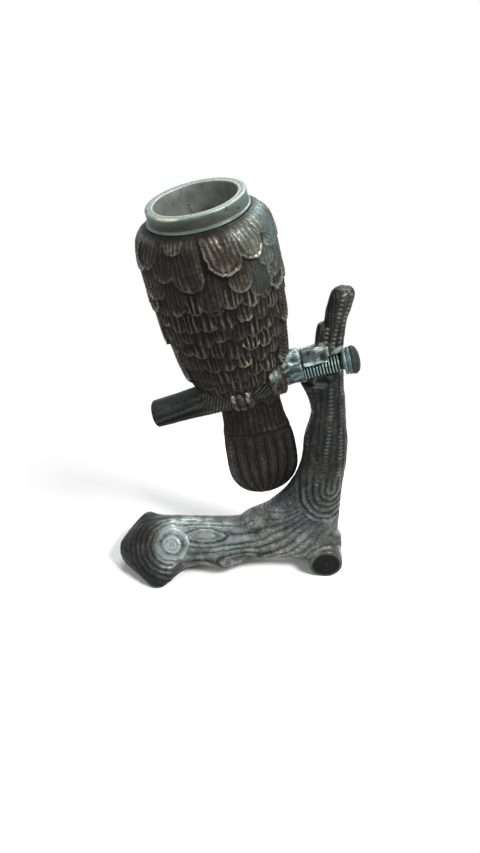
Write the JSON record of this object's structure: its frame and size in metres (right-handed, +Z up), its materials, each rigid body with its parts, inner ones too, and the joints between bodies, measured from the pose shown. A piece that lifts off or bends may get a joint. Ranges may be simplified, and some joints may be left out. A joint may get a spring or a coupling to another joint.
{
  "type": "figural toothpick holder",
  "caption": "Figural toothpick holder: a perched bird whose body is an open cup, hung by its perch on a ribbed pivot screw from a cast tree stump with a log base.",
  "frame": {"origin": "middle of the footprint box, on the surface that the log stands on", "axes": "+Z up, +X from the log's left tip to the trunk, the bird's breast and the log's ringed knots face -Y"},
  "size_m": [0.0718, 0.036, 0.1254],
  "materials": {
    "tree_metal": "worn grey-green patina over dark cast metal",
    "perch_metal": "worn grey-green patina over dark cast metal",
    "bird_metal": "dark brown patina with rubbed edges",
    "screw_metal": "tarnished, verdigris in the grooves",
    "ring_metal": "worn pale plate with brown showing through",
    "liner_metal": "satin, stained"
  },
  "bodies": {
    "tree": {"tree_base": "tree_metal"},
    "perch_arm": {"perch": "perch_metal", "pivot_screw": "screw_metal", "pivot_washer": "screw_metal", "left_foot": "bird_metal", "right_foot": "bird_metal", "body_screw_left": "screw_metal", "body_screw_right": "screw_metal", "bird_body": "bird_metal", "bird_tail": "bird_metal", "tail_rivet_left": "bird_metal", "tail_rivet_right": "bird_metal", "neck_collar": "ring_metal"},
    "cup": {"liner_cup": "liner_metal"}
  },
  "joints": [
    {"name": "perch_swivel", "type": "hinge", "parent": "tree", "child": "perch_arm", "pos_m": [0.00578, -0.004, 0.0709], "axis": [0.9636, 0, 0.2672], "range_deg": [-30, 30]},
    {"name": "liner_lift", "type": "slide", "parent": "perch_arm", "child": "cup", "axis": [-0.2096, 0, 0.9778], "range_m": [0, 0.046]}
  ]
}
